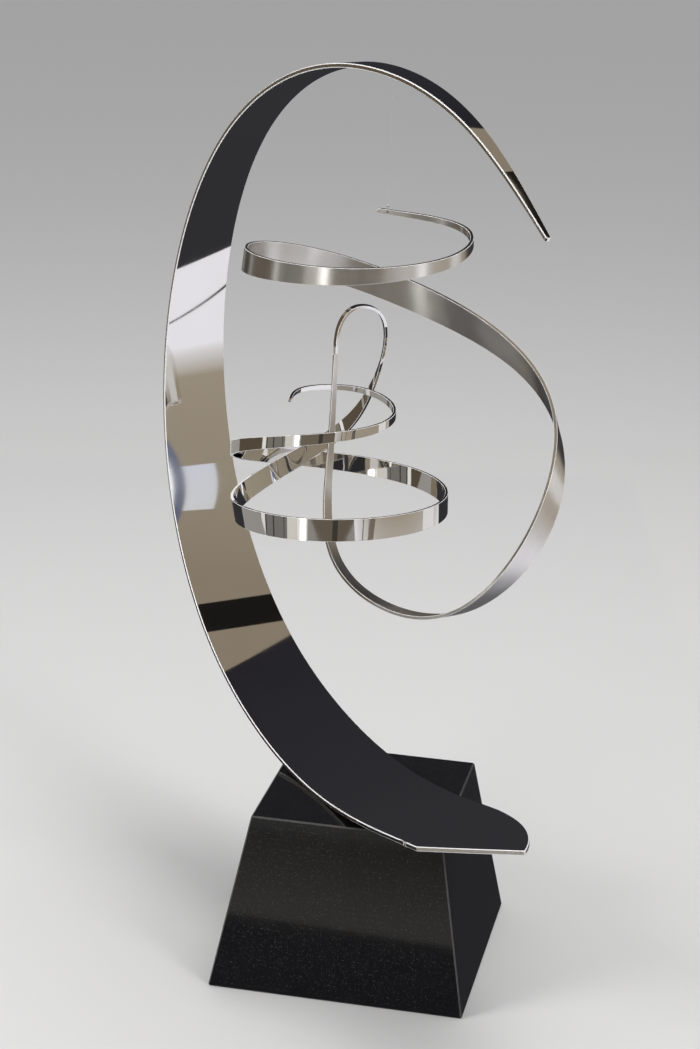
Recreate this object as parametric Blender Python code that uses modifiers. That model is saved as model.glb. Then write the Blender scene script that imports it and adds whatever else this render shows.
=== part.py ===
"""Abstract kinetic sculpture: a rolled steel crescent on a granite plinth carries two hanging ribbons.

The crescent is a tapered flat bar rolled in one upright plane. A fine line hangs from its crown and
holds a satin ribbon by a ring through its tip. The other end of the satin ribbon rises to a point,
and a mirror-polished inner ribbon balances on that point by the foot of its hairpin.
Metres, +Z up: the plinth stands on z = 0, square to X and Y, and the line hangs on x = y = 0.
"""

import math

import bmesh
import bpy
import numpy as np
from mathutils import Vector

GAP = 0.0003  # between pieces that rest on each other

# Plinth: a block that narrows upwards
PLINTH_BASE = 0.400
PLINTH_TOP = 0.298
PLINTH_HEIGHT = 0.272
PLINTH_CHAMFER = 0.0025

# Crescent: (reach, height) control points of its rolled line, in an upright plane with this azimuth.
# Heights are measured before the bar is lowered onto the plinth.
CRESCENT_AZIMUTH = math.radians(-48.2)
CRESCENT_OFFSET = 0.003  # the bar's middle plane stands this far behind the line
CRESCENT_THICKNESS = 0.007
CRESCENT_TAIL_WIDTH = 0.216
CRESCENT_TIP_WIDTH = 0.008
CRESCENT_ROUTE = (
    (0.460, 0.360), (0.235, 0.305), (0.000, 0.265), (-0.235, 0.295), (-0.450, 0.395),
    (-0.600, 0.590), (-0.645, 0.825), (-0.595, 1.060), (-0.460, 1.255), (-0.250, 1.375),
    (-0.015, 1.410), (0.220, 1.370), (0.413, 1.233),
)
CRESCENT_ROWS = 110
TAIL_CUT = 0.148  # how far the straight oblique cut runs up the front edge, from the nose
TAIL_NOSE = -0.009  # where the nose lies across the bar, from its middle
TAIL_NOSE_RADIUS = 0.006
TAIL_SWEEP_RADIUS = 0.400  # the rounded cut on the back edge

# Ribbons: (x, y, z, twist in degrees) control points. The twist turns the width of the bar about its
# run, away from the upright width that it starts with.
SATIN_THICKNESS = 0.005
SATIN_WIDTHS = (0.0075, 0.0465, 0.0075)  # at the hung tip, at the widest place, at the point
SATIN_WIDEST_AT = 0.51
SATIN_FULLNESS = 1.6
SATIN_ROWS = 150
SATIN_ROUTE = (
    (-0.015, 0.004, 1.193, 2), (0.148, -0.035, 1.191, 4), (0.163, -0.240, 1.175, 6),
    (0.010, -0.330, 1.160, 8), (-0.155, -0.265, 1.155, 18), (-0.195, -0.085, 1.140, 28),
    (-0.095, 0.050, 1.100, 38), (0.065, 0.070, 1.045, 52), (0.210, 0.005, 0.995, 78),
    (0.300, -0.110, 0.920, 84), (0.290, -0.235, 0.790, 128), (0.180, -0.210, 0.645, 96),
    (0.045, -0.120, 0.610, 92), (-0.080, -0.015, 0.650, 112), (-0.097, 0.115, 0.775, 86),
    (-0.0965, 0.125, 0.939, 102),
)

INNER_THICKNESS = 0.0045
INNER_WIDTHS = (0.0065, 0.0345, 0.008)  # at the free tip, at the widest place, at the foot
INNER_WIDEST_AT = 0.665
INNER_FULLNESS = 1.28
INNER_ROWS = 170
INNER_ROUTE = (
    # the small upper ring
    (-0.156, 0.074, 0.873, 16), (-0.166, 0.151, 0.875, 8), (-0.058, 0.208, 0.870, 6),
    (0.021, 0.105, 0.860, 8), (-0.005, -0.005, 0.855, 12), (-0.125, -0.050, 0.845, 26),
    (-0.235, 0.020, 0.810, 38),
    # the large lower ring
    (-0.265, 0.130, 0.765, 40), (-0.215, 0.245, 0.730, 44), (-0.100, 0.295, 0.715, 54),
    (0.025, 0.265, 0.710, 60), (0.095, 0.160, 0.710, 66), (0.085, 0.035, 0.715, 64),
    (-0.010, -0.055, 0.715, 68), (-0.135, -0.065, 0.710, 70), (-0.240, 0.015, 0.700, 64),
    (-0.250, 0.145, 0.695, 42),
    # the rising arm
    (-0.180, 0.235, 0.730, 24), (-0.092, 0.250, 0.790, -2), (-0.052, 0.225, 0.870, -30),
    (-0.034, 0.205, 0.930, -38),
    # the hairpin, down to its foot
    (-0.030, 0.190, 0.980, -14), (-0.045, 0.170, 1.010, -2), (-0.080, 0.140, 1.015, 4),
    (-0.096, 0.121, 0.980, 10), (-0.0965, 0.125, 0.9400, 10),
)

# The ring through the satin ribbon's tip, and the line
HOLE_RADIUS = 0.0015
HOLE_FROM_TIP = 0.0174
RING_RADIUS = 0.0045
RING_WIRE_RADIUS = 0.0006
RING_LIFT = 0.0042  # from the middle of the hole to the middle of the ring
LINE_DIAMETER = 0.0005
LINE_POINTS = 60

EDGE_BEVEL = 0.0004
TIP_ROUNDING = 0.004


def unit(vectors):
    return vectors / np.linalg.norm(vectors, axis=-1, keepdims=True)


def along(points):
    """Distance along a line of points, at each of them."""
    steps = np.linalg.norm(np.diff(points, axis=0), axis=1)
    return np.concatenate([[0.0], np.cumsum(steps)])


def smooth_curve(controls, samples=3000):
    """Uniform cubic B-spline that starts and ends on its first and last control point."""
    rows = np.array(controls, float)
    rows = np.vstack([2 * rows[0] - rows[1], rows, 2 * rows[-1] - rows[-2]])
    spans = len(rows) - 3
    place = np.linspace(0.0, spans, samples)
    first = np.minimum(place.astype(int), spans - 1)
    f = (place - first)[:, None]
    total = (1 - f) ** 3 * rows[first]
    total += (3 * f**3 - 6 * f**2 + 4) * rows[first + 1]
    total += (-3 * f**3 + 3 * f**2 + 3 * f + 1) * rows[first + 2]
    total += f**3 * rows[first + 3]
    return total / 6


def sample(columns, lengths, wanted):
    """Values of a curve's columns at the wanted distances along it."""
    return np.stack([np.interp(wanted, lengths, column) for column in columns.T], axis=-1)


def make_material(name, colour, metallic, roughness):
    material = bpy.data.materials.new(name)
    material.use_nodes = True
    shader = material.node_tree.nodes["Principled BSDF"]
    shader.inputs["Base Color"].default_value = (*colour, 1.0)
    shader.inputs["Metallic"].default_value = metallic
    shader.inputs["Roughness"].default_value = roughness
    return material


def move_to(collection, thing):
    for owner in list(thing.users_collection):
        owner.objects.unlink(thing)
    collection.objects.link(thing)


def point_z_along(thing, direction):
    thing.rotation_mode = "QUATERNION"
    thing.rotation_quaternion = Vector((0, 0, 1)).rotation_difference(Vector(direction))


def bar(name, edges, thickness, material, collection):
    """A flat bar: a strip between two edges, each row of it a pair of points, made solid."""
    rows = len(edges)
    mesh = bpy.data.meshes.new(name)
    faces = [(2 * r, 2 * r + 1, 2 * r + 3, 2 * r + 2) for r in range(rows - 1)]
    mesh.from_pydata([tuple(point) for point in edges.reshape(-1, 3)], [], faces)
    mesh.materials.append(material)
    strip = bpy.data.objects.new(name, mesh)
    collection.objects.link(strip)
    solidify = strip.modifiers.new("thickness", "SOLIDIFY")
    solidify.thickness = thickness
    solidify.offset = 0.0
    return strip


def ease_edges(thing):
    bevel = thing.modifiers.new("eased edges", "BEVEL")
    bevel.width = EDGE_BEVEL
    bevel.segments = 1
    bevel.limit_method = "ANGLE"
    bevel.angle_limit = math.radians(50)


def cut(thing, cutter):
    boolean = thing.modifiers.new("cut", "BOOLEAN")
    boolean.operation = "DIFFERENCE"
    boolean.solver = "EXACT"
    boolean.object = cutter


def hide_cutter(cutter, cutters):
    move_to(cutters, cutter)
    cutter.hide_render = True
    cutter.display_type = "WIRE"


def make_plinth(collection, material):
    bpy.ops.mesh.primitive_cone_add(
        vertices=4,
        radius1=PLINTH_BASE / math.sqrt(2),
        radius2=PLINTH_TOP / math.sqrt(2),
        depth=PLINTH_HEIGHT,
        location=(0.0, 0.0, PLINTH_HEIGHT / 2),
        rotation=(0.0, 0.0, math.radians(45)),
    )
    plinth = bpy.context.object
    plinth.name = "plinth"
    bevel = plinth.modifiers.new("arris", "BEVEL")
    bevel.width = PLINTH_CHAMFER
    bevel.segments = 1
    plinth.data.materials.append(material)
    move_to(collection, plinth)


def crescent_axes():
    reach = np.array([math.cos(CRESCENT_AZIMUTH), math.sin(CRESCENT_AZIMUTH), 0.0])
    across = np.array([-reach[1], reach[0], 0.0])
    return reach, across


def tail_cutter(cutters, nose_reach, height):
    """What is cut off the square end of the bar, as an upright block round the tail's outline.

    The outline runs, seen from above, from the front edge along the straight cut, round the nose, and
    along an arc that comes in tangent to the back edge.
    """
    half = CRESCENT_TAIL_WIDTH / 2
    margin = 0.05
    slope = (half + TAIL_NOSE) / TAIL_CUT
    outline = [(-TAIL_CUT - margin / slope, -half - margin)]
    for step in range(5):
        turn = math.radians(-90 + step * 22.5)
        side = TAIL_NOSE + TAIL_NOSE_RADIUS * math.sin(turn) * 0.6
        outline.append((TAIL_NOSE_RADIUS * (math.cos(turn) - 1), side))
    back = half - 0.009
    sweep = math.acos(1 - (back - TAIL_NOSE) / TAIL_SWEEP_RADIUS)
    length = TAIL_SWEEP_RADIUS * math.sin(sweep)
    for step in range(1, 13):
        turn = sweep * (1 - step / 12)
        outline.append(
            (
                TAIL_SWEEP_RADIUS * math.sin(turn) - length,
                back - TAIL_SWEEP_RADIUS * (1 - math.cos(turn)),
            )
        )
    outline += [(-length, half + margin), (margin, half + margin), (margin, -half - margin)]
    reach, across = crescent_axes()
    shape = bmesh.new()
    corners = []
    for ahead, side in outline:
        place = (nose_reach + ahead) * reach + (CRESCENT_OFFSET + side) * across
        corners.append(shape.verts.new((place[0], place[1], height - 0.15)))
    face = shape.faces.new(corners)
    raised = bmesh.ops.extrude_face_region(shape, geom=[face])
    tops = [item for item in raised["geom"] if isinstance(item, bmesh.types.BMVert)]
    bmesh.ops.translate(shape, verts=tops, vec=(0.0, 0.0, 0.3))
    bmesh.ops.recalc_face_normals(shape, faces=shape.faces)
    mesh = bpy.data.meshes.new("tail_cutter")
    shape.to_mesh(mesh)
    shape.free()
    cutter = bpy.data.objects.new("tail_cutter", mesh)
    cutters.objects.link(cutter)
    hide_cutter(cutter, cutters)
    return cutter


def make_crescent(collection, cutters, material):
    route = smooth_curve(CRESCENT_ROUTE)
    route[:, 1] += PLINTH_HEIGHT + GAP + CRESCENT_THICKNESS / 2 - route[:, 1].min()
    lengths = along(route)
    at = np.linspace(0.0, lengths[-1], CRESCENT_ROWS)
    middle = sample(route, lengths, at)
    half = np.linspace(CRESCENT_TAIL_WIDTH, CRESCENT_TIP_WIDTH, CRESCENT_ROWS)[:, None] / 2
    reach, across = crescent_axes()
    places = middle[:, :1] * reach + middle[:, 1:] * np.array([0.0, 0.0, 1.0]) + CRESCENT_OFFSET * across
    edges = np.stack([places - half * across, places + half * across], axis=1)
    crescent = bar("crescent", edges, CRESCENT_THICKNESS, material, collection)
    cut(crescent, tail_cutter(cutters, route[0, 0] - 0.004, route[0, 1]))
    ease_edges(crescent)
    return crescent


def taper(fraction, widths, widest_at, fullness):
    """Width of a ribbon that swells from its tip to its widest place and narrows to its other end."""
    tip, widest, end = widths
    rising = np.clip(fraction / widest_at, 0.0, 1.0)
    falling = np.clip((1 - fraction) / (1 - widest_at), 0.0, 1.0)
    rise = tip + (widest - tip) * np.sin(math.pi / 2 * rising) ** fullness
    fall = end + (widest - end) * np.sin(math.pi / 2 * falling) ** fullness
    return np.where(fraction < widest_at, rise, fall)


def ribbon_frame(route, widths, widest_at, fullness):
    """Distances, middle points, width directions and widths of a ribbon, finely along its run."""
    fine = smooth_curve(route)
    middle = fine[:, :3]
    run = unit(np.gradient(middle, axis=0))
    carried = np.zeros_like(middle)
    width_way = np.array([0.0, 0.0, 1.0])
    for index, tangent in enumerate(run):
        width_way = unit(width_way - np.dot(width_way, tangent) * tangent)
        carried[index] = width_way
    twist = np.radians(fine[:, 3:])
    turned = np.cos(twist) * carried + np.sin(twist) * np.cross(run, carried)
    lengths = along(middle)
    width = taper(lengths / lengths[-1], widths, widest_at, fullness)
    return lengths, middle, turned, width


def ribbon_edges(frame, rows):
    """Pairs of points down the two edges, drawn in to a rounded tip at the start."""
    lengths, middle, width_way, width = frame
    rounding = TIP_ROUNDING * np.array([0.0, 0.1, 0.3, 0.6])
    at = np.concatenate([rounding, np.linspace(TIP_ROUNDING, lengths[-1], rows)])
    inside = np.clip(at / TIP_ROUNDING, 0.06, 1.0)[:, None]
    half = sample(width[:, None], lengths, at) / 2 * np.sqrt(1 - (1 - inside) ** 2)
    places = sample(middle, lengths, at)
    ways = unit(sample(width_way, lengths, at))
    return np.stack([places - half * ways, places + half * ways], axis=1)


def make_satin_ribbon(collection, cutters, material):
    """Returns the middle of the hole in the ribbon's tip, and the way the ribbon runs there."""
    frame = ribbon_frame(SATIN_ROUTE, SATIN_WIDTHS, SATIN_WIDEST_AT, SATIN_FULLNESS)
    ribbon = bar("satin_ribbon", ribbon_edges(frame, SATIN_ROWS), SATIN_THICKNESS, material, collection)
    lengths, middle, width_way, _ = frame
    near = sample(middle, lengths, np.array([HOLE_FROM_TIP, HOLE_FROM_TIP + 0.002]))
    hole = near[0]
    run = unit(near[1] - near[0])
    through = np.cross(run, sample(width_way, lengths, np.array([HOLE_FROM_TIP]))[0])
    bpy.ops.mesh.primitive_cylinder_add(
        vertices=20, radius=HOLE_RADIUS, depth=4 * SATIN_THICKNESS, location=hole
    )
    cutter = bpy.context.object
    cutter.name = "hole_cutter"
    point_z_along(cutter, through)
    hide_cutter(cutter, cutters)
    cut(ribbon, cutter)
    ease_edges(ribbon)
    return hole, run


def make_inner_ribbon(collection, material):
    frame = ribbon_frame(INNER_ROUTE, INNER_WIDTHS, INNER_WIDEST_AT, INNER_FULLNESS)
    ribbon = bar("inner_ribbon", ribbon_edges(frame, INNER_ROWS), INNER_THICKNESS, material, collection)
    ease_edges(ribbon)


def make_ring(collection, material, hole, run):
    """The ring stands upright, square to the ribbon's run, with its lowest wire in the hole."""
    bpy.ops.mesh.primitive_torus_add(
        major_radius=RING_RADIUS,
        minor_radius=RING_WIRE_RADIUS,
        major_segments=32,
        minor_segments=10,
        location=(hole[0], hole[1], hole[2] + RING_LIFT),
    )
    ring = bpy.context.object
    ring.name = "hanging_ring"
    point_z_along(ring, (run[0], run[1], 0.0))
    ring.data.materials.append(material)
    move_to(collection, ring)


def crown_underside(crescent):
    """Height of the crescent's underside straight above the origin."""
    solid = crescent.evaluated_get(bpy.context.evaluated_depsgraph_get())
    _, place, _, _ = solid.ray_cast(Vector((0.0, 0.0, PLINTH_HEIGHT + 0.5)), Vector((0.0, 0.0, 1.0)))
    return place.z


def make_line(collection, material, hole, top):
    curve = bpy.data.curves.new("hanging_line", "CURVE")
    curve.dimensions = "3D"
    curve.bevel_depth = LINE_DIAMETER / 2
    curve.bevel_resolution = 2
    curve.use_fill_caps = True
    curve.materials.append(material)
    foot = hole[2] + RING_LIFT + RING_RADIUS + RING_WIRE_RADIUS + GAP
    spline = curve.splines.new("POLY")
    spline.points.add(LINE_POINTS - 1)
    for point, height in zip(spline.points, np.linspace(top, foot, LINE_POINTS)):
        point.co = (hole[0], hole[1], height, 1.0)
    collection.objects.link(bpy.data.objects.new("hanging_line", curve))


for existing in list(bpy.data.objects):
    bpy.data.objects.remove(existing)
sculpture = bpy.data.collections.new("kinetic sculpture")
cutters = bpy.data.collections.new("cutters")
bpy.context.scene.collection.children.link(sculpture)
bpy.context.scene.collection.children.link(cutters)

make_plinth(sculpture, make_material("black granite", (0.018, 0.018, 0.020), 0.0, 0.08))
crescent = make_crescent(sculpture, cutters, make_material("mirror steel", (0.72, 0.70, 0.67), 1.0, 0.05))
hole, run = make_satin_ribbon(
    sculpture, cutters, make_material("satin steel", (0.62, 0.60, 0.58), 1.0, 0.30)
)
make_inner_ribbon(sculpture, make_material("inner mirror steel", (0.72, 0.70, 0.67), 1.0, 0.06))
make_ring(sculpture, make_material("ring steel", (0.70, 0.69, 0.67), 1.0, 0.15), hole, run)
bpy.context.view_layer.update()
make_line(
    sculpture,
    make_material("clear nylon", (0.75, 0.76, 0.78), 0.0, 0.25),
    hole,
    crown_underside(crescent) - GAP,
)
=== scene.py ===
import math

import bmesh
import bpy
import numpy as np
from mathutils import Matrix, Vector


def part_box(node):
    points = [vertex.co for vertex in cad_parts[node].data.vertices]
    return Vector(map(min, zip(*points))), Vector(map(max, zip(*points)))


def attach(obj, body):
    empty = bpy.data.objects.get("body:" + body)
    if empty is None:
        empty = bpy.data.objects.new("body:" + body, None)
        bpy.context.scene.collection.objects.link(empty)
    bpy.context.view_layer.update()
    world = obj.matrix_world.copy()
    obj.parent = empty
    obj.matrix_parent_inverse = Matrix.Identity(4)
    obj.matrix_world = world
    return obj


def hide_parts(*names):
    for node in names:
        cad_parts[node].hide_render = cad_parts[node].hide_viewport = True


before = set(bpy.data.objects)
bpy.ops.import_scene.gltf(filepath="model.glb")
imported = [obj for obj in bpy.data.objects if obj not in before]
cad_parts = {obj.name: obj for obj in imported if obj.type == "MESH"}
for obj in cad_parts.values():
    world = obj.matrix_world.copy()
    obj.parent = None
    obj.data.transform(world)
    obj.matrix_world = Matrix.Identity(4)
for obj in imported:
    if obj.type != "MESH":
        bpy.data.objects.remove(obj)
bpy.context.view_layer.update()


# Camera: it stands in front of the sculpture, a little above eye height, and looks down at it. Its long
# lens keeps the plinth's sides nearly parallel. It leans to one side, as a camera held by hand does.
CAMERA_PLACE = (0.6897, -3.6008, 1.9203)
CAMERA_HEADING = math.radians(11.45)
CAMERA_PITCH = math.radians(18.28)
CAMERA_LEAN = math.radians(1.91)
CAMERA_LENS = 87.0
CAMERA_SENSOR = 36.0
CAMERA_REACH = 100.0

bpy.ops.object.camera_add(location=CAMERA_PLACE)
camera = bpy.context.object
camera.name = "camera"
camera.data.lens = CAMERA_LENS
camera.data.sensor_width = CAMERA_SENSOR
camera.data.clip_end = CAMERA_REACH
camera.matrix_world = (
    Matrix.Translation(CAMERA_PLACE)
    @ Matrix.Rotation(CAMERA_HEADING, 4, "Z")
    @ Matrix.Rotation(math.pi / 2 - CAMERA_PITCH, 4, "X")
    @ Matrix.Rotation(CAMERA_LEAN, 4, "Z")
)
bpy.context.scene.camera = camera


# Hanging line: clear nylon fishing line, knotted to the ring below and held in the crown above. It is
# drawn straight by the weight of the two ribbons.
LINE_DIAMETER = 0.0005
LINE_POINTS = 24
THREAD_ROUNDNESS = 3


class Socket:
    """A shader value that Python's operators join to others with Math nodes."""

    def __init__(self, tree, link):
        self.tree = tree
        self.link = link

    def join(self, operation, first, second):
        return self.tree.node("ShaderNodeMath", {"operation": operation}, [first, second])

    def __add__(self, other):
        return self.join("ADD", self, other)

    __radd__ = __add__

    def __sub__(self, other):
        return self.join("SUBTRACT", self, other)

    def __rsub__(self, other):
        return self.join("SUBTRACT", other, self)

    def __mul__(self, other):
        return self.join("MULTIPLY", self, other)

    __rmul__ = __mul__

    def __gt__(self, other):
        return self.join("GREATER_THAN", self, other)


class Tree:
    """The nodes that feed one shader, of a material or of the studio's surroundings."""

    def __init__(self, owner, shader, values):
        owner.use_nodes = True
        self.nodes = owner.node_tree.nodes
        self.links = owner.node_tree.links
        self.shader = self.nodes[shader]
        for socket, value in values.items():
            self.set(socket.replace("_", " ").title().replace("Ior", "IOR"), value)

    def set(self, socket, value):
        if isinstance(value, Socket):
            self.links.new(value.link, self.shader.inputs[socket])
        elif isinstance(value, tuple):
            self.shader.inputs[socket].default_value = (*value, 1.0)
        else:
            self.shader.inputs[socket].default_value = value

    def node(self, kind, settings, inputs, output=0):
        made = self.nodes.new(kind)
        for name, value in settings.items():
            if name == "stops":
                ramp = made.color_ramp
                while len(ramp.elements) < len(value):
                    ramp.elements.new(0.5)
                for element, (place, colour) in zip(ramp.elements, value):
                    element.position = place
                    element.color = (*colour, 1.0)
            else:
                setattr(made, name, value)
        pairs = inputs.items() if isinstance(inputs, dict) else enumerate(inputs)
        for key, value in pairs:
            if isinstance(value, Socket):
                self.links.new(value.link, made.inputs[key])
            elif isinstance(value, tuple) and len(value) != len(made.inputs[key].default_value):
                made.inputs[key].default_value = (*value, 1.0)
            else:
                made.inputs[key].default_value = value
        return Socket(self, made.outputs[output])

    def place(self, scale=(1.0, 1.0, 1.0), source="Object"):
        coordinates = self.node("ShaderNodeTexCoord", {}, [], output=source)
        return self.node("ShaderNodeMapping", {}, {"Vector": coordinates, "Scale": scale})

    def noise(self, vector, scale, detail=3.0, roughness=0.5):
        values = {"Vector": vector, "Scale": scale, "Detail": detail, "Roughness": roughness}
        return self.node("ShaderNodeTexNoise", {}, values)

    def cells(self, vector, spacing, output="Distance"):
        values = {"Vector": vector, "Scale": 1 / spacing}
        return self.node("ShaderNodeTexVoronoi", {"feature": "F1"}, values, output=output)

    def mix(self, factor, first, second):
        values = {0: factor, 6: first, 7: second}
        return self.node("ShaderNodeMix", {"data_type": "RGBA"}, values, output=2)

    def ramp(self, value, *stops):
        return self.node("ShaderNodeValToRGB", {"stops": stops}, [value])

    def bump(self, height, strength, distance):
        values = {"Height": height, "Strength": strength, "Distance": distance}
        self.set("Normal", self.node("ShaderNodeBump", {}, values))


class Finish(Tree):
    """A material made of one Principled shader and the nodes that feed it."""

    def __init__(self, name, **values):
        self.material = bpy.data.materials.new(name)
        super().__init__(self.material, "Principled BSDF", values)


def deselect():
    for thing in bpy.context.selected_objects:
        thing.select_set(False)


def thread(name, places, radius):
    """A thread of that radius through the places, as a curve."""
    curve = bpy.data.curves.new(name, "CURVE")
    curve.dimensions = "3D"
    curve.bevel_depth = radius
    curve.bevel_resolution = THREAD_ROUNDNESS
    curve.use_fill_caps = True
    spline = curve.splines.new("POLY")
    spline.points.add(len(places) - 1)
    for point, place in zip(spline.points, places):
        point.co = (*place, 1.0)
    piece = bpy.data.objects.new(name, curve)
    bpy.context.scene.collection.objects.link(piece)
    return piece


line_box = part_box("hanging_line")
line_foot = line_box[0][2]
line_top = line_box[1][2]
hang_x = (line_box[0][0] + line_box[1][0]) / 2
hang_y = (line_box[0][1] + line_box[1][1]) / 2
heights = np.linspace(line_top, line_foot, LINE_POINTS)
line = thread("line", [(hang_x, hang_y, height) for height in heights], LINE_DIAMETER / 2)
nylon = Finish("clear nylon", base_color=(0.55, 0.56, 0.58), roughness=0.18, alpha=0.16)
streak = nylon.noise(nylon.place((400.0, 400.0, 40.0)), 6.0)
nylon.set("Roughness", 0.12 + 0.2 * streak)
nylon.set("Base Color", nylon.mix(streak, (0.45, 0.46, 0.48), (0.68, 0.69, 0.72)))
line.data.materials.append(nylon.material)
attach(line, "base")
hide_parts("hanging_line")


# Plinth: one block of black granite, sawn to a narrowing square and polished on every face. Its
# corners are ground to a narrow flat that stays a little duller than the faces.
PLINTH_BASE = 0.400
PLINTH_TOP = 0.298
PLINTH_CHAMFER = 0.0022
PLINTH_SMOOTHING = math.radians(35)
FLECK_SPACING = 0.00156
FLECKLESS_SHARE = 0.72
ARRIS_SPACING = 0.0012
GRANITE_DEEP = (0.0035, 0.0035, 0.004)
GRANITE_CLOUD = (0.010, 0.010, 0.011)
GRANITE_GRAIN = (0.013, 0.013, 0.013)
GRANITE_FLECK = (0.062, 0.062, 0.056)
ARRIS_PALE = (0.085, 0.085, 0.082)
ARRIS_DARK = (0.02, 0.02, 0.02)

plinth_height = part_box("plinth")[1][2]
deselect()
bpy.ops.mesh.primitive_cube_add(size=1.0, location=(0.0, 0.0, plinth_height / 2))
plinth = bpy.context.object
plinth.name = "granite_block"
plinth.scale = (PLINTH_BASE, PLINTH_BASE, plinth_height)
bpy.ops.object.transform_apply(location=True, rotation=True, scale=True)
bpy.ops.object.mode_set(mode="EDIT")
bpy.ops.mesh.select_mode(type="FACE")
bpy.ops.mesh.select_all(action="DESELECT")
bpy.ops.object.mode_set(mode="OBJECT")
for face in plinth.data.polygons:
    face.select = face.normal.z > 0.9
bpy.ops.object.mode_set(mode="EDIT")
narrowing = PLINTH_TOP / PLINTH_BASE
top_middle = (0.0, 0.0, plinth_height)
bpy.ops.transform.resize(value=(narrowing, narrowing, 1.0), center_override=top_middle)
bpy.ops.mesh.select_all(action="SELECT")
bpy.ops.object.mode_set(mode="OBJECT")
granite = Finish(
    "polished black granite", roughness=0.06, ior=1.55, coat_weight=0.35, coat_roughness=0.03
)
stone_place = granite.place()
cells = granite.cells(stone_place, FLECK_SPACING)
chance = granite.cells(stone_place, FLECK_SPACING, "Color")
pick = granite.node("ShaderNodeSeparateColor", {}, [chance])
fleck_size = granite.node("ShaderNodeSeparateColor", {}, [chance], output=1)
cloud = granite.noise(stone_place, 38.0, detail=5.0, roughness=0.6)
fleck = (pick > FLECKLESS_SHARE) * (0.12 + 0.26 * fleck_size > cells)
grain = granite.noise(stone_place, 900.0, detail=2.0)
stone = granite.mix(cloud, GRANITE_DEEP, GRANITE_CLOUD)
stone = granite.mix((grain > 0.62) * 0.5, stone, GRANITE_GRAIN)
granite.set("Base Color", granite.mix(fleck, stone, GRANITE_FLECK))
granite.set("Roughness", 0.055 + 0.05 * cloud + 0.12 * fleck)
plinth.data.materials.append(granite.material)
arris = Finish("ground granite arris", roughness=0.38, ior=1.55)
arris_cells = arris.cells(arris.place(), ARRIS_SPACING)
arris_cloud = arris.noise(arris.place(), 260.0, detail=4.0)
arris.set("Base Color", arris.mix(arris_cells * arris_cloud * 1.6, ARRIS_PALE, ARRIS_DARK))
arris.set("Roughness", 0.30 + 0.2 * arris_cloud)
plinth.data.materials.append(arris.material)
# the bevel's narrow flats take the second finish
bevel = plinth.modifiers.new("arris", "BEVEL")
bevel.width = PLINTH_CHAMFER
bevel.segments = 1
bevel.material = 1
bpy.ops.object.modifier_apply(modifier="arris")
bpy.ops.object.shade_smooth_by_angle(angle=PLINTH_SMOOTHING)
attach(plinth, "base")
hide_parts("plinth")


# Crescent: a long stainless bar, cut to a taper and rolled in one upright plane, then polished to a
# mirror on both faces. The sawn edges are ground to a satin. It stands on the plinth near its tail.
CRESCENT_AZIMUTH = math.radians(-48.2)
CRESCENT_OFFSET = 0.003
CRESCENT_THICKNESS = 0.007
CRESCENT_TAIL_WIDTH = 0.216
CRESCENT_TIP_WIDTH = 0.008
CRESCENT_ROUTE = (
    (0.460, 0.360), (0.235, 0.305), (0.000, 0.265), (-0.235, 0.295), (-0.450, 0.395),
    (-0.600, 0.590), (-0.645, 0.825), (-0.595, 1.060), (-0.460, 1.255), (-0.250, 1.375),
    (-0.015, 1.410), (0.220, 1.370), (0.413, 1.233),
)
CRESCENT_ROWS = 440
CRESCENT_HEM = 0.002  # the outermost strip of each face, kept regular so that its corner eases evenly
HEM_SHARE = 0.4
CRESCENT_EASING = 0.0013
SHARP_CORNER = math.radians(50)
CORNER_SHARE = 0.8  # how much of the room beside a corner its easing may take
END_SHARE = 0.4
BAR_SMOOTHING = math.radians(30)
# the tail: a straight cut from the front corner to the nose, then a long sweep to the back corner, and
# a band behind them in which the rows even out
TAIL_START = 0.004
TAIL_BAND = 0.32
TAIL_ROWS = 60
TAIL_SETTLING = 0.05
TAIL_CUT = 0.148
TAIL_CUT_STEPS = 4
TAIL_NOSE = -0.009
TAIL_NOSE_GAP = 0.004
TAIL_NOSE_BLUNTING = 0.0005
TAIL_SWEEP_RADIUS = 0.400
TAIL_SWEEP_STEPS = 15
TAIL_FRONT_INSET = 0.0035
TAIL_BACK_INSET = 0.009
# the tip: rounded off over a few rows, down to a small flat
TIP_ROUNDING = 0.004
TIP_FLAT = 0.0006
TIP_ROWS = (1.0, 0.65, 0.32, 0.0)
TIP_CLEARANCE = 0.002


def smooth_curve(controls, samples=6000):
    """Uniform cubic B-spline that starts and ends on its first and last control point."""
    rows = np.array(controls, float)
    rows = np.vstack([2 * rows[0] - rows[1], rows, 2 * rows[-1] - rows[-2]])
    spans = len(rows) - 3
    place = np.linspace(0.0, spans, samples)
    first = np.minimum(place.astype(int), spans - 1)
    f = (place - first)[:, None]
    total = (1 - f) ** 3 * rows[first]
    total += (3 * f**3 - 6 * f**2 + 4) * rows[first + 1]
    total += (-3 * f**3 + 3 * f**2 + 3 * f + 1) * rows[first + 2]
    total += f**3 * rows[first + 3]
    return total / 6


def along(points):
    steps = np.linalg.norm(np.diff(points, axis=0), axis=1)
    return np.concatenate([[0.0], np.cumsum(steps)])


def sample(columns, lengths, wanted):
    return np.stack([np.interp(wanted, lengths, column) for column in columns.T], axis=-1)


def unit(vectors):
    return vectors / np.linalg.norm(vectors, axis=-1, keepdims=True)


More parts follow.
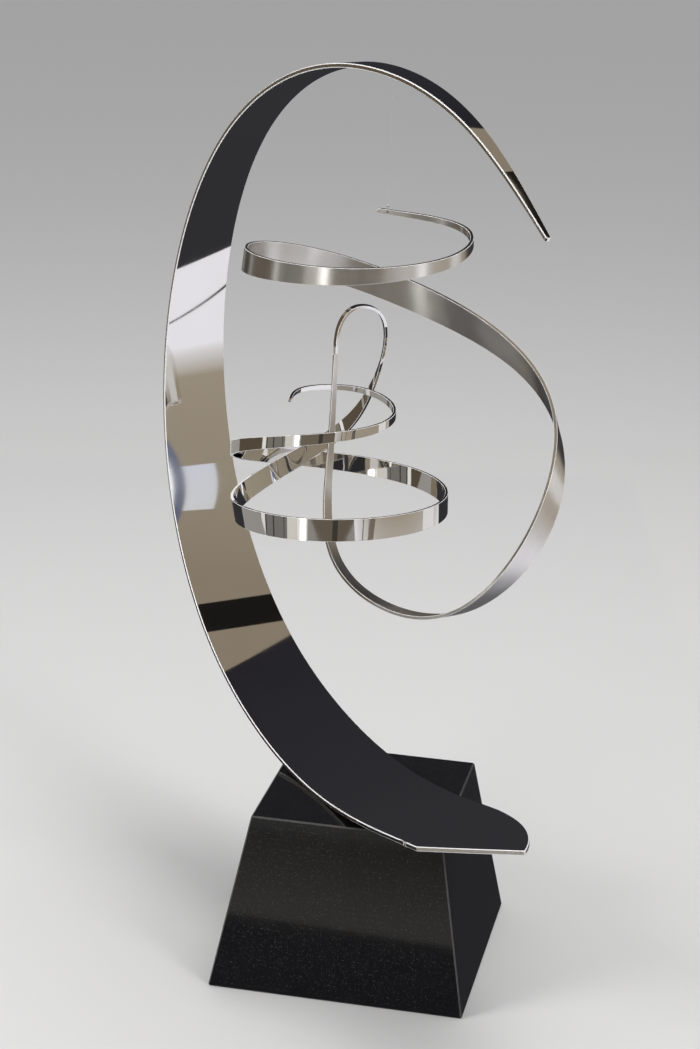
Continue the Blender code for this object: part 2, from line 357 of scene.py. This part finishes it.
def weigh_corners(mesh, corner):
    """Mark a bar's sharp corners to be eased by corner, and by less where its faces are too small."""
    bar = bmesh.new()
    bar.from_mesh(mesh)
    weights = bar.edges.layers.float.new("bevel_weight_edge")
    sharp = {edge for edge in bar.edges if edge.calc_face_angle(0.0) > SHARP_CORNER}
    room = {}
    for point in bar.verts:
        meeting = [edge for edge in point.link_edges if edge in sharp]
        free = []
        for edge in point.link_edges:
            away = edge.other_vert(point).co - point.co
            if edge not in sharp:
                for corner_edge in meeting:
                    corner_way = (corner_edge.other_vert(point).co - point.co).normalized()
                    free.append(CORNER_SHARE * away.cross(corner_way).length)
            elif len(meeting) > 2:
                free.append(END_SHARE * away.length)
        room[point] = min(1.0, min(free, default=corner) / corner)
    for edge in sharp:
        edge[weights] = min(room[point] for point in edge.verts)
    bar.to_mesh(mesh)
    bar.free()


def rolled_bar(name, places, lengthwise, sideways, thickness, corner, finishes):
    """A flat bar over a grid of places: its faces, its edges and its eased corners, each in a finish.

    lengthwise and sideways give each place's distance along and across the bar, for its grain.
    """
    rows, columns = places.shape[:2]
    deselect()
    bpy.ops.mesh.primitive_grid_add(x_subdivisions=columns - 1, y_subdivisions=rows - 1, size=1.0)
    piece = bpy.context.object
    piece.name = name
    mesh = piece.data
    mesh.vertices.foreach_set("co", places.reshape(-1))
    mesh.update()
    grain_map = mesh.uv_layers[0]
    grain_map.name = "grain"
    flat = np.stack([lengthwise.reshape(-1), sideways.reshape(-1)], axis=-1)
    corner_points = np.zeros(len(mesh.loops), dtype=np.int32)
    mesh.loops.foreach_get("vertex_index", corner_points)
    grain_map.data.foreach_set("uv", flat[corner_points].reshape(-1))
    for finish in finishes:
        mesh.materials.append(finish.material)
    solidify = piece.modifiers.new("thickness", "SOLIDIFY")
    solidify.thickness = thickness
    solidify.offset = 0.0
    solidify.material_offset_rim = 1
    bpy.ops.object.modifier_apply(modifier="thickness")
    weigh_corners(mesh, corner)
    bevel = piece.modifiers.new("easing", "BEVEL")
    bevel.width = corner
    bevel.segments = 1
    bevel.limit_method = "WEIGHT"
    bevel.use_clamp_overlap = False
    bevel.material = 2
    bpy.ops.object.modifier_apply(modifier="easing")
    bpy.ops.object.shade_smooth_by_angle(angle=BAR_SMOOTHING)
    return piece


def crescent_width(at):
    return CRESCENT_TAIL_WIDTH + (CRESCENT_TIP_WIDTH - CRESCENT_TAIL_WIDTH) * at / total


route = smooth_curve(CRESCENT_ROUTE)
route[:, 1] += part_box("crescent")[0][2] + CRESCENT_THICKNESS / 2 - route[:, 1].min()
lengths = along(route)
total = lengths[-1]
reach = np.array([math.cos(CRESCENT_AZIMUTH), math.sin(CRESCENT_AZIMUTH), 0.0])
across = np.array([-reach[1], reach[0], 0.0])

# each column of the bar has its own side, and starts at its own place on the tail's outline
half = CRESCENT_TAIL_WIDTH / 2
front = -half + TAIL_FRONT_INSET
back = half - TAIL_BACK_INSET
cut_sides = front + (TAIL_NOSE - TAIL_NOSE_GAP - front) * np.arange(TAIL_CUT_STEPS + 1) / TAIL_CUT_STEPS
cut_starts = TAIL_START + TAIL_CUT * (TAIL_NOSE - cut_sides) / (half + TAIL_NOSE)
sweep = math.acos(1 - (back - TAIL_NOSE) / TAIL_SWEEP_RADIUS)
last_turn = math.acos(1 - CRESCENT_HEM / TAIL_SWEEP_RADIUS)
turned = sweep + (last_turn - sweep) * np.arange(1, TAIL_SWEEP_STEPS + 1) / TAIL_SWEEP_STEPS
turned = np.append(turned, 0.0)
sweep_sides = back - TAIL_SWEEP_RADIUS * (1 - np.cos(turned))
sweep_starts = TAIL_START + TAIL_SWEEP_RADIUS * (math.sin(sweep) - np.sin(turned))
column_sides = np.concatenate([cut_sides, [TAIL_NOSE], sweep_sides])
column_starts = np.concatenate([cut_starts, [TAIL_START + TAIL_NOSE_BLUNTING], sweep_starts])
columns = len(column_sides)

# past the tail's band all columns share their rows
tip_rows = total - TIP_ROUNDING * np.array(TIP_ROWS)
even_rows = np.linspace(TAIL_BAND, total, CRESCENT_ROWS - TAIL_ROWS)
even_rows = np.append(even_rows[even_rows < tip_rows[0] - TIP_CLEARANCE], tip_rows)
tail_rows = np.arange(TAIL_ROWS) / TAIL_ROWS
places = np.zeros((TAIL_ROWS + len(even_rows), columns, 3))
lengthwise = np.zeros(places.shape[:2])
sideways = np.zeros(places.shape[:2])
for column, (start, own_side) in enumerate(zip(column_starts, column_sides)):
    at = np.append(start + (TAIL_BAND - start) * tail_rows, even_rows)
    half_width = crescent_width(at) / 2
    if column in (0, columns - 1):
        side = math.copysign(1.0, own_side) * half_width
    else:
        outermost = -column_sides[1] if own_side < 0 else column_sides[-2]
        hem = np.minimum(CRESCENT_HEM, HEM_SHARE * half_width)
        side = own_side / outermost * (half_width - hem)
    settled = np.clip((at - start) / TAIL_SETTLING, 0.0, 1.0)
    side = own_side * (1 - settled) + side * settled
    from_tip = np.clip((total - at + TIP_FLAT) / (TIP_ROUNDING + TIP_FLAT), 0.0, 1.0)
    side = side * np.sqrt(1 - (1 - from_tip) ** 2)
    place = sample(route, lengths, at)
    places[:, column] = place[:, :1] * reach + (CRESCENT_OFFSET + side)[:, None] * across
    places[:, column, 2] = place[:, 1]
    lengthwise[:, column] = at
    sideways[:, column] = side

mirror = Finish(
    "mirror-polished stainless", metallic=1.0, roughness=0.03, base_color=(0.78, 0.76, 0.735)
)
haze = mirror.noise(mirror.place(), 9.0, detail=4.0)
swirl = mirror.noise(mirror.place((3.0, 260.0, 1.0), "UV"), 2.0, detail=4.0)
mirror.set("Roughness", 0.018 + 0.03 * haze * haze + 0.02 * swirl * haze)
mirror.set("Base Color", mirror.mix(haze, (0.74, 0.72, 0.695), (0.80, 0.785, 0.76)))

ground = Finish("satin-ground stainless edge", metallic=1.0, roughness=0.20)
scratches = ground.noise(ground.place((4.0, 900.0, 1.0), "UV"), 3.0, detail=5.0, roughness=0.65)
ground.set("Roughness", 0.12 + 0.14 * scratches)
ground.set("Base Color", ground.mix(scratches, (0.70, 0.69, 0.67), (0.88, 0.87, 0.85)))

# the eased corners get a near-white colour with little metal in it, a painted highlight: lit by the
# lamps, they stand in for the glints that the real corners catch
eased = Finish("eased stainless corner, painted highlight", metallic=0.12, roughness=0.30)
rubbed = eased.noise(eased.place((30.0, 600.0, 1.0), "UV"), 2.0, detail=4.0)
eased.set("Roughness", 0.22 + 0.20 * rubbed)
eased.set("Base Color", eased.mix(rubbed, (0.86, 0.85, 0.84), (0.99, 0.98, 0.97)))

crescent = rolled_bar(
    "crescent_bar",
    places,
    lengthwise,
    sideways,
    CRESCENT_THICKNESS,
    CRESCENT_EASING,
    (mirror, ground, eased),
)
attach(crescent, "base")
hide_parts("crescent")


# Satin ribbon: a stainless bar ground to a spindle, wound by hand into a loop and a wide sweep, and
# brushed along its length with a fine abrasive belt. It hangs by the hole in its tip.
SATIN_THICKNESS = 0.005
SATIN_WIDTHS = (0.0075, 0.0465, 0.0075)
SATIN_WIDEST_AT = 0.51
SATIN_FULLNESS = 1.6
SATIN_ROWS = 520
SATIN_ROUTE = (
    (-0.015, 0.004, 1.193, 2), (0.148, -0.035, 1.191, 4), (0.163, -0.240, 1.175, 6),
    (0.010, -0.330, 1.160, 8), (-0.155, -0.265, 1.155, 18), (-0.195, -0.085, 1.140, 28),
    (-0.095, 0.050, 1.100, 38), (0.065, 0.070, 1.045, 52), (0.210, 0.005, 0.995, 78),
    (0.300, -0.110, 0.920, 84), (0.290, -0.235, 0.790, 128), (0.180, -0.210, 0.645, 96),
    (0.045, -0.120, 0.610, 92), (-0.080, -0.015, 0.650, 112), (-0.097, 0.115, 0.775, 86),
    (-0.0965, 0.125, 0.939, 102),
)
RIBBON_EASING = 0.0005
RIBBON_STRIPS = 4
RIBBON_TIP_ROWS = 7
HOLE_RADIUS = 0.0015
HOLE_FROM_TIP = 0.0174
DRILL_LENGTH = 0.02


def taper(fraction, widths, widest_at, fullness):
    tip, widest, end = widths
    rising = np.clip(fraction / widest_at, 0.0, 1.0)
    falling = np.clip((1 - fraction) / (1 - widest_at), 0.0, 1.0)
    rise = tip + (widest - tip) * np.sin(math.pi / 2 * rising) ** fullness
    fall = end + (widest - end) * np.sin(math.pi / 2 * falling) ** fullness
    return np.where(fraction < widest_at, rise, fall)


def ribbon(name, route, widths, widest_at, fullness, rows, thickness, finishes):
    """A twisted ribbon along its route, a few strips wide, with a rounded tip at its start."""
    fine = smooth_curve(route)
    middle = fine[:, :3]
    run = unit(np.gradient(middle, axis=0))
    carried = np.zeros_like(middle)
    width_way = np.array([0.0, 0.0, 1.0])
    for index, tangent in enumerate(run):
        width_way = unit(width_way - np.dot(width_way, tangent) * tangent)
        carried[index] = width_way
    twist = np.radians(fine[:, 3:])
    turned = np.cos(twist) * carried + np.sin(twist) * np.cross(run, carried)
    lengths = along(middle)
    rounding = TIP_ROUNDING * (1 - np.cos(np.linspace(0.0, math.pi / 2, RIBBON_TIP_ROWS + 2)[1:-1]))
    at = np.concatenate([rounding, np.linspace(TIP_ROUNDING, lengths[-1], rows)])
    inside = np.clip(at / TIP_ROUNDING, 0.0, 1.0)
    half = taper(at / lengths[-1], widths, widest_at, fullness) / 2 * np.sqrt(1 - (1 - inside) ** 2)
    middles = sample(middle, lengths, at)
    ways = unit(sample(turned, lengths, at))
    sides = half[:, None] * np.linspace(-1.0, 1.0, RIBBON_STRIPS + 1)
    places = middles[:, None, :] + sides[:, :, None] * ways[:, None, :]
    lengthwise = np.repeat(at[:, None], RIBBON_STRIPS + 1, axis=1)
    return rolled_bar(name, places, lengthwise, sides, thickness, RIBBON_EASING, finishes)


brushed = Finish(
    "brushed stainless", metallic=1.0, roughness=0.3, anisotropic=0.92, anisotropic_rotation=0.25
)
grain_place = brushed.place((6.0, 2600.0, 1.0), "UV")
fine_grain = brushed.noise(grain_place, 1.0, detail=6.0, roughness=0.7)
coarse_grain = brushed.noise(brushed.place((14.0, 700.0, 1.0), "UV"), 1.0, detail=3.0)
patch = brushed.noise(brushed.place(), 22.0, detail=3.0, roughness=0.6)
brushed.set("Roughness", 0.21 + 0.12 * fine_grain + 0.06 * patch)
tone = 0.45 * fine_grain + 0.25 * coarse_grain + 0.9 * (patch - 0.5) + 0.15
brushed.set("Base Color", brushed.mix(tone, (0.66, 0.645, 0.625), (0.88, 0.865, 0.845)))
brushed.bump(fine_grain * 0.7 + coarse_grain * 0.3, 0.12, 0.0002)

satin = ribbon(
    "satin_bar",
    SATIN_ROUTE,
    SATIN_WIDTHS,
    SATIN_WIDEST_AT,
    SATIN_FULLNESS,
    SATIN_ROWS,
    SATIN_THICKNESS,
    (brushed, ground, eased),
)
# the hole for the ring, drilled square through the tip
fine = smooth_curve(SATIN_ROUTE)
nearest = int(np.argmin(np.abs(along(fine[:, :3]) - HOLE_FROM_TIP)))
tip_run = unit(fine[nearest + 5, :3] - fine[nearest - 5, :3])
hole_at = Vector(fine[nearest, :3])
deselect()
bpy.ops.mesh.primitive_cylinder_add(
    vertices=32, radius=HOLE_RADIUS, depth=DRILL_LENGTH, location=hole_at
)
drill = bpy.context.object
across_tip = Vector(np.cross(tip_run, (0.0, 0.0, 1.0)))
drill.rotation_euler = across_tip.to_track_quat("Z", "Y").to_euler()
deselect()
satin.select_set(True)
bpy.context.view_layer.objects.active = satin
drilled = satin.modifiers.new("hole", "BOOLEAN")
drilled.operation = "DIFFERENCE"
drilled.solver = "EXACT"
drilled.object = drill
bpy.ops.object.modifier_apply(modifier="hole")
bpy.data.objects.remove(drill)
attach(satin, "satin")
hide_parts("satin_ribbon")


# Hanging ring: a small ring of bright stainless wire through the hole in the satin ribbon's tip. The
# nylon line is tied to its top with a tight knot of three turns, and the knot's end is cut short.
WIRE_RADIUS = 0.0006
KNOT_TURNS = 3
KNOT_STEPS = 16
KNOT_RADIUS = 0.0011
KNOT_HEIGHT = 0.0032
KNOT_NARROWING = 0.55
KNOT_THREAD = 0.7 * LINE_DIAMETER

ring_low, ring_high = np.array(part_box("hanging_ring"))
ring_radius = (ring_high[2] - ring_low[2]) / 2 - WIRE_RADIUS
deselect()
bpy.ops.mesh.primitive_torus_add(
    major_segments=64,
    minor_segments=16,
    major_radius=ring_radius,
    minor_radius=WIRE_RADIUS,
    location=tuple((ring_low + ring_high) / 2),
)
ring = bpy.context.object
ring.name = "wire_ring"
ring.rotation_euler = Vector(tip_run).to_track_quat("Z", "Y").to_euler()
bpy.ops.object.transform_apply(location=True, rotation=True, scale=True)
bpy.ops.object.shade_smooth()
wire = Finish("bright wire", metallic=1.0, roughness=0.10, base_color=(0.86, 0.85, 0.83))
drawn = wire.noise(wire.place((900.0, 900.0, 900.0)), 1.0)
wire.set("Roughness", 0.07 + 0.10 * drawn)
wire.set("Base Color", wire.mix(drawn, (0.80, 0.79, 0.77), (0.90, 0.89, 0.88)))
ring.data.materials.append(wire.material)
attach(ring, "satin")
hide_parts("hanging_ring")

knot_foot = ring_high[2] - 2 * WIRE_RADIUS
winding = []
for turn in np.linspace(0.0, KNOT_TURNS, KNOT_TURNS * KNOT_STEPS):
    rise = turn / KNOT_TURNS
    reach_out = KNOT_RADIUS * (1 - KNOT_NARROWING * rise)
    angle = 2 * math.pi * turn
    knot_x = hang_x + reach_out * math.cos(angle)
    knot_y = hang_y + reach_out * math.sin(angle)
    winding.append((knot_x, knot_y, knot_foot + KNOT_HEIGHT * rise))
knot = thread("knot", winding, KNOT_THREAD)
deselect()
knot.select_set(True)
bpy.context.view_layer.objects.active = knot
bpy.ops.object.convert(target="MESH")
knot = bpy.context.object
knot.name = "knot"
bpy.ops.object.shade_smooth()
knot_nylon = Finish("knotted nylon", base_color=(0.75, 0.76, 0.78), roughness=0.2)
pulled = knot_nylon.noise(knot_nylon.place((2000.0, 2000.0, 2000.0)), 1.0)
knot_nylon.set("Roughness", 0.12 + 0.2 * pulled)
knot_nylon.set("Base Color", knot_nylon.mix(pulled, (0.62, 0.63, 0.66), (0.85, 0.86, 0.88)))
knot.data.materials.clear()
knot.data.materials.append(knot_nylon.material)
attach(knot, "satin")


# Inner ribbon: a thinner bar wound into a small ring, a large ring, a rising arm and a hairpin, and
# polished to a mirror all over. It balances by the hairpin's foot, over the satin ribbon's point.
INNER_THICKNESS = 0.0045
INNER_WIDTHS = (0.0065, 0.0345, 0.008)
INNER_WIDEST_AT = 0.665
INNER_FULLNESS = 1.28
INNER_ROWS = 620
INNER_ROUTE = (
    # the small upper ring
    (-0.156, 0.074, 0.873, 16), (-0.166, 0.151, 0.875, 8), (-0.058, 0.208, 0.870, 6),
    (0.021, 0.105, 0.860, 8), (-0.005, -0.005, 0.855, 12), (-0.125, -0.050, 0.845, 26),
    (-0.235, 0.020, 0.810, 38),
    # the large lower ring
    (-0.265, 0.130, 0.765, 40), (-0.215, 0.245, 0.730, 44), (-0.100, 0.295, 0.715, 54),
    (0.025, 0.265, 0.710, 60), (0.095, 0.160, 0.710, 66), (0.085, 0.035, 0.715, 64),
    (-0.010, -0.055, 0.715, 68), (-0.135, -0.065, 0.710, 70), (-0.240, 0.015, 0.700, 64),
    (-0.250, 0.145, 0.695, 42),
    # the rising arm
    (-0.180, 0.235, 0.730, 24), (-0.092, 0.250, 0.790, -2), (-0.052, 0.225, 0.870, -30),
    (-0.034, 0.205, 0.930, -38),
    # the hairpin, down to its foot
    (-0.030, 0.190, 0.980, -14), (-0.045, 0.170, 1.010, -2), (-0.080, 0.140, 1.015, 4),
    (-0.096, 0.121, 0.980, 10), (-0.0965, 0.125, 0.9400, 10),
)

polished = Finish(
    "hand-polished stainless", metallic=1.0, roughness=0.04, base_color=(0.78, 0.765, 0.745)
)
ripple = polished.noise(polished.place((20.0, 20.0, 1.0), "UV"), 1.0, detail=1.0)
wear = polished.noise(polished.place((5.0, 900.0, 1.0), "UV"), 1.0, detail=5.0)
polished.set("Roughness", 0.025 + 0.05 * wear * ripple)
polished.set("Base Color", polished.mix(wear, (0.72, 0.705, 0.685), (0.82, 0.81, 0.79)))
polished.bump(ripple, 0.06, 0.0006)

inner = ribbon(
    "polished_bar",
    INNER_ROUTE,
    INNER_WIDTHS,
    INNER_WIDEST_AT,
    INNER_FULLNESS,
    INNER_ROWS,
    INNER_THICKNESS,
    (polished, polished, eased),
)
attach(inner, "inner")
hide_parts("inner_ribbon")


# Studio: a plain pale floor under soft lights. Around it stands a plain room, and only the polished
# faces see it: a dark paper sweep behind, white boards and a window on the right, warm walls.
FLOOR_SIZE = 40.0
FLOOR_DROP = 0.0005
PALE_PAPER = (0.62, 0.615, 0.61)
SWEEP_DARK = (0.036, 0.036, 0.041)
WARM_WALL = (0.30, 0.255, 0.195)
WHITE_BOARD = (0.98, 0.98, 1.05)
WINDOW_BLUE = (0.72, 0.76, 0.86)
FRAME_BLUE = (0.16, 0.18, 0.27)
DAYLIGHT = (1.5, 1.52, 1.6)
NEAR_SHADE = (0.07, 0.06, 0.048)
BLACK_CLOTH = (0.012, 0.011, 0.010)
ROOM_CARDS = (
    # name, middle (right, ahead, up), width, height, where it hangs, lower and upper colour
    ("sweep_back", (0.10, 1.73, 1.52), 2.64, 3.04, "back_turned", SWEEP_DARK, (0.022, 0.021, 0.027)),
    ("sweep_floor", (-0.61, 0.75, 0.000), 2.58, 3.70, "floor", SWEEP_DARK, SWEEP_DARK),
    ("white_floor", (1.24, -0.6, -0.001), 1.12, 3.20, "floor", WHITE_BOARD, WHITE_BOARD),
    ("floor_lead", (1.07, -0.24, 0.001), 0.010, 0.50, "floor_turned", BLACK_CLOTH, BLACK_CLOTH),
    ("room_floor", (0.0, -1.8, -0.004), 7.0, 9.40, "floor", (0.30, 0.29, 0.275), (0.36, 0.35, 0.335)),
    ("floor_near", (-0.50, -2.15, -0.002), 3.60, 2.10, "floor", NEAR_SHADE, (0.42, 0.395, 0.35)),
    ("wall_back", (0.0, 2.90, 1.5), 7.0, 3.20, "back", (0.45, 0.44, 0.43), WARM_WALL),
    ("wall_right", (1.80, -1.8, 1.5), 8.0, 3.20, "right", (0.42, 0.37, 0.295), WARM_WALL),
    ("wall_foot", (1.795, -1.8, 0.16), 8.0, 0.36, "right", WHITE_BOARD, (0.40, 0.355, 0.28)),
    ("wall_left", (-3.0, -1.8, 1.5), 8.0, 3.20, "left", (0.19, 0.185, 0.18), (0.26, 0.225, 0.175)),
    ("wall_front", (0.0, -5.6, 1.5), 7.0, 3.20, "front", (0.13, 0.105, 0.08), (0.30, 0.26, 0.205)),
    ("ceiling", (0.0, -1.8, 3.05), 7.0, 10.0, "ceiling", WARM_WALL, WARM_WALL),
    ("window", (1.78, -0.760, 1.75), 0.110, 0.66, "right_leaning", WINDOW_BLUE, (0.74, 0.76, 0.80)),
    ("window_side", (1.77, -0.848, 2.05), 0.20, 2.30, "right_leaning", FRAME_BLUE, (0.12, 0.13, 0.20)),
    ("window_far", (1.76, -1.180, 1.35), 0.48, 1.50, "right_leaning", DAYLIGHT, (1.3, 1.32, 1.4)),
    ("lamp_slab", (1.20, 0.55, 3.02), 0.30, 0.54, "ceiling_turned", BLACK_CLOTH, BLACK_CLOTH),
    ("strip_left", (-2.35, -3.30, 1.45), 0.50, 2.70, "front", (4.4, 4.35, 4.25), (3.8, 3.75, 3.7)),
    ("strip_glow", (-2.45, -3.31, 1.45), 1.00, 2.80, "front", (0.95, 0.93, 0.88), (0.85, 0.83, 0.79)),
    ("strip_turned", (-2.93, -2.72, 1.45), 1.10, 2.80, "left", (0.74, 0.72, 0.67), (0.62, 0.60, 0.56)),
    ("dark_stand", (-0.10, -4.20, 0.95), 0.40, 1.90, "front", (0.05, 0.045, 0.04), (0.07, 0.06, 0.05)),
    ("board_right", (1.785, 0.60, 0.55), 0.70, 1.10, "right", (0.86, 0.85, 0.86), (0.78, 0.77, 0.76)),
    ("curtain_back", (-2.20, 2.86, 1.5), 1.60, 3.20, "back", (0.045, 0.037, 0.029), (0.06, 0.05, 0.04)),
    ("curtain_left", (-2.95, 1.05, 1.5), 2.40, 3.20, "left", (0.10, 0.08, 0.055), (0.13, 0.10, 0.07)),
    ("curtain_gap", (-2.94, -0.30, 1.5), 0.28, 3.00, "left", (0.85, 0.84, 0.80), (0.95, 0.94, 0.92)),
    ("rail_1", (-2.97, -0.50, 1.1), 0.07, 2.20, "left", BLACK_CLOTH, BLACK_CLOTH),
    ("rail_2", (-2.97, -1.05, 1.1), 0.10, 2.20, "left", (0.06, 0.05, 0.04), BLACK_CLOTH),
    ("rail_3", (-2.97, -1.90, 1.1), 0.05, 2.20, "left", BLACK_CLOTH, BLACK_CLOTH),
    ("rail_4", (1.70, -2.60, 1.0), 0.05, 2.00, "right", (0.08, 0.08, 0.07), BLACK_CLOTH),
    ("rail_5", (1.70, -3.30, 1.0), 0.12, 2.00, "right", (0.05, 0.05, 0.05), BLACK_CLOTH),
)
CARD_TURNS = {
    # in degrees: tilt, heading and the card's turn in its own plane
    "back": (90.0, 0.0, 0.0),
    "back_turned": (90.0, -35.0, 0.0),
    "front": (90.0, 180.0, 0.0),
    "right": (90.0, -90.0, 0.0),
    "right_leaning": (90.0, -90.0, 12.6),
    "left": (90.0, 90.0, 0.0),
    "floor": (0.0, 0.0, 0.0),
    "floor_turned": (0.0, 0.0, 33.0),
    "ceiling": (180.0, 0.0, 0.0),
    "ceiling_turned": (180.0, 0.0, -35.0),
}
SOFTBOXES = (
    # place, the place that it faces, width, height, power in watts
    ((-3.2, -2.2, 2.6), (-0.1, 0.1, 0.8), 1.6, 2.2, 95.0),
    ((3.4, -2.4, 3.0), (0.0, 0.0, 0.8), 1.2, 2.4, 62.0),
    ((0.4, 1.0, 4.6), (0.0, 0.0, 0.6), 3.0, 2.0, 88.0),
)
AIR = (
    # how far up one looks, from level to overhead, and the colour there
    (0.0, (0.345, 0.345, 0.35)),
    (0.25, (0.39, 0.39, 0.395)),
    (1.0, (0.70, 0.70, 0.71)),
)

deselect()
bpy.ops.mesh.primitive_plane_add(size=FLOOR_SIZE, location=(0.0, 0.0, -FLOOR_DROP))
floor = bpy.context.object
floor.name = "floor"
paper = Finish("pale floor", base_color=PALE_PAPER, roughness=0.75)
floor.data.materials.append(paper.material)
floor.visible_glossy = False

# the room stands square to the camera
room_turn = Matrix.Rotation(CAMERA_HEADING, 4, "Z")
for name, middle, width, height, facing, low, high in ROOM_CARDS:
    deselect()
    bpy.ops.mesh.primitive_plane_add(size=1.0)
    card = bpy.context.object
    card.name = name
    tilt, heading, spin = (math.radians(angle) for angle in CARD_TURNS[facing])
    card.matrix_world = (
        room_turn
        @ Matrix.Translation(middle)
        @ Matrix.Rotation(heading, 4, "Z")
        @ Matrix.Rotation(tilt, 4, "X")
        @ Matrix.Rotation(spin, 4, "Z")
        @ Matrix.Diagonal((width, height, 1.0, 1.0))
    )
    board = Finish(name, base_color=(0.0, 0.0, 0.0), roughness=1.0, specular_ior_level=0.0)
    shade = board.noise(board.place((1.0, 1.0, 1.0)), 1.5, detail=2.0)
    split = board.node("ShaderNodeSeparateXYZ", {}, [board.place()], output=1)
    blend = split + 0.5 + 0.3 * (shade - 0.5)
    board.set("Emission Color", board.mix(blend, low, high))
    board.set("Emission Strength", 1.0)
    card.data.materials.append(board.material)
    card.visible_camera = False
    card.visible_diffuse = False
    card.visible_shadow = False
    card.visible_transmission = False
    card.visible_volume_scatter = False

for number, (place, target, width, height, power) in enumerate(SOFTBOXES):
    bpy.ops.object.light_add(type="AREA", location=place)
    lamp = bpy.context.object
    lamp.name = f"softbox_{number}"
    lamp.data.shape = "RECTANGLE"
    lamp.data.size = width
    lamp.data.size_y = height
    lamp.data.energy = power
    lamp.visible_glossy = False
    lamp.rotation_euler = (Vector(target) - Vector(place)).to_track_quat("-Z", "Y").to_euler()

world = bpy.data.worlds.new("studio")
bpy.context.scene.world = world
surroundings = Tree(world, "Background", {"strength": 1.0})
direction = surroundings.node("ShaderNodeTexCoord", {}, [])
upward = surroundings.node("ShaderNodeSeparateXYZ", {}, [direction], output=2)
surroundings.set("Color", surroundings.ramp(upward, *AIR))
bpy.context.scene.view_settings.view_transform = "Standard"
